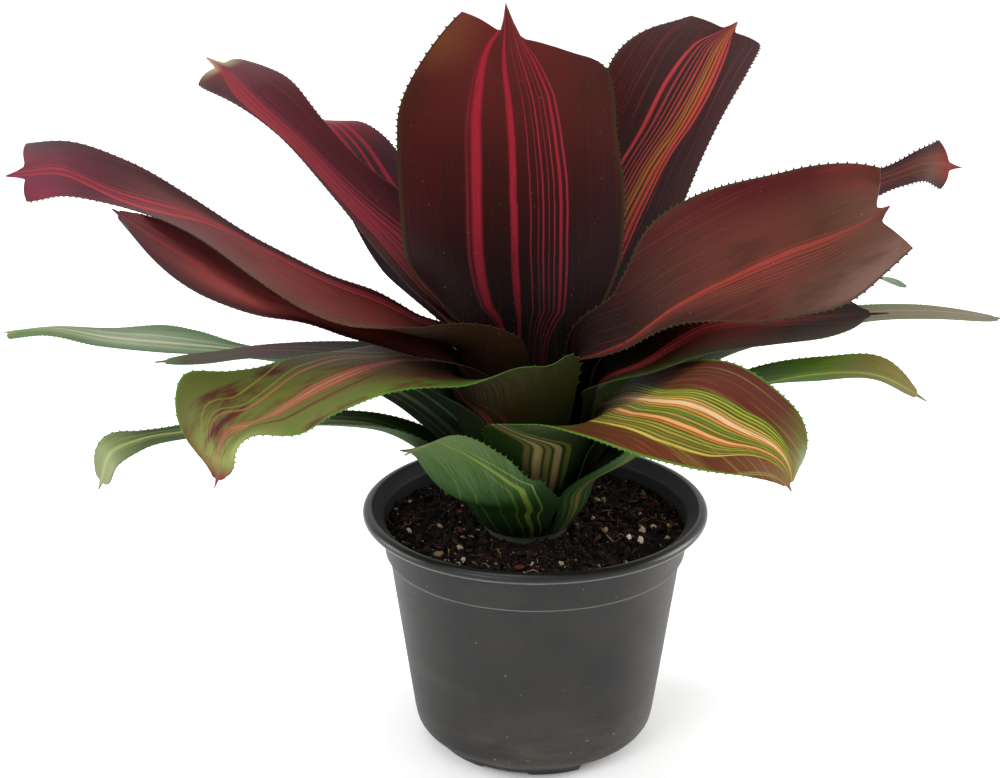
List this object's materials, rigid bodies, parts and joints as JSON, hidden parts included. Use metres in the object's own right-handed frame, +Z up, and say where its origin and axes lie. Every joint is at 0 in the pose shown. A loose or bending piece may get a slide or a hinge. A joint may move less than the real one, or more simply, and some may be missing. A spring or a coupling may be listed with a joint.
{
  "type": "potted bromeliad",
  "caption": "Bromeliad with a loose rosette of arching, toothed leaves banded in red, cream and green, on a short stem in a round black nursery pot of peat.",
  "frame": {"origin": "on the floor under the middle of the plant's bounding box; the pot's own axis stands 18.9 mm to +X and 61.8 mm to -Y of it, because the leaves reach further to the left and to the back", "axes": "+Z up; +X to the plant's right and +Y away from the viewer, as the picture shows it"},
  "size_m": [0.4702, 0.3148, 0.3173],
  "materials": {
    "leaf_front_curled": "waxy leaf, green with a paler band along it",
    "leaf_right_low": "waxy leaf, green with a paler band along it",
    "leaf_back_low": "waxy leaf, green with a paler band along it",
    "leaf_front_left_low": "waxy leaf, green with a paler band along it",
    "leaf_back_right_low": "waxy leaf, green with a paler band along it",
    "leaf_left_low": "waxy leaf, green with a paler band along it",
    "leaf_right_outer": "waxy leaf, green with a paler band along it",
    "leaf_front_right": "waxy leaf, olive with coral, cream and maroon bands along it",
    "leaf_left_small": "waxy leaf, olive with coral, cream and maroon bands along it",
    "leaf_front_left": "waxy leaf, olive with coral, cream and maroon bands along it",
    "leaf_back_right_mid": "waxy leaf, green with a paler band along it",
    "leaf_right_mid": "waxy leaf, dark maroon with crimson bands along it",
    "leaf_back_left_mid": "waxy leaf, dark maroon with crimson bands along it",
    "leaf_left_mid": "waxy leaf, dark maroon with crimson bands along it",
    "leaf_right_narrow": "waxy leaf, dark maroon with crimson bands along it",
    "leaf_back_left": "waxy leaf, dark maroon with crimson bands along it",
    "leaf_back_right": "waxy leaf, dark maroon with crimson bands along it",
    "leaf_left_long": "waxy leaf, dark maroon with crimson bands along it",
    "leaf_left_high": "waxy leaf, dark maroon with crimson bands along it",
    "leaf_back_tall": "waxy leaf, dark maroon with crimson bands along it",
    "leaf_right_broad": "waxy leaf, dark maroon with crimson bands along it",
    "leaf_heart_left": "waxy leaf, green with a paler band along it",
    "leaf_heart_right": "waxy leaf, green with a paler band along it",
    "leaf_heart_back": "waxy leaf, green with a paler band along it",
    "stem": "short green stem, hidden by the sheaths",
    "soil": "moist dark peat with grains of perlite and bark",
    "pot": "black thin-walled nursery pot, semi-matte, dusty"
  },
  "bodies": {
    "root": {"leaf_front_curled": "leaf_front_curled", "leaf_right_low": "leaf_right_low", "leaf_back_low": "leaf_back_low", "leaf_front_left_low": "leaf_front_left_low", "leaf_back_right_low": "leaf_back_right_low", "leaf_left_low": "leaf_left_low", "leaf_right_outer": "leaf_right_outer", "leaf_front_right": "leaf_front_right", "leaf_left_small": "leaf_left_small", "leaf_front_left": "leaf_front_left", "leaf_back_right_mid": "leaf_back_right_mid", "leaf_right_mid": "leaf_right_mid", "leaf_back_left_mid": "leaf_back_left_mid", "leaf_left_mid": "leaf_left_mid", "leaf_right_narrow": "leaf_right_narrow", "leaf_back_left": "leaf_back_left", "leaf_back_right": "leaf_back_right", "leaf_left_long": "leaf_left_long", "leaf_left_high": "leaf_left_high", "leaf_back_tall": "leaf_back_tall", "leaf_right_broad": "leaf_right_broad", "leaf_heart_left": "leaf_heart_left", "leaf_heart_right": "leaf_heart_right", "leaf_heart_back": "leaf_heart_back", "stem": "stem", "soil": "soil", "pot": "pot"}
  },
  "joints": []
}
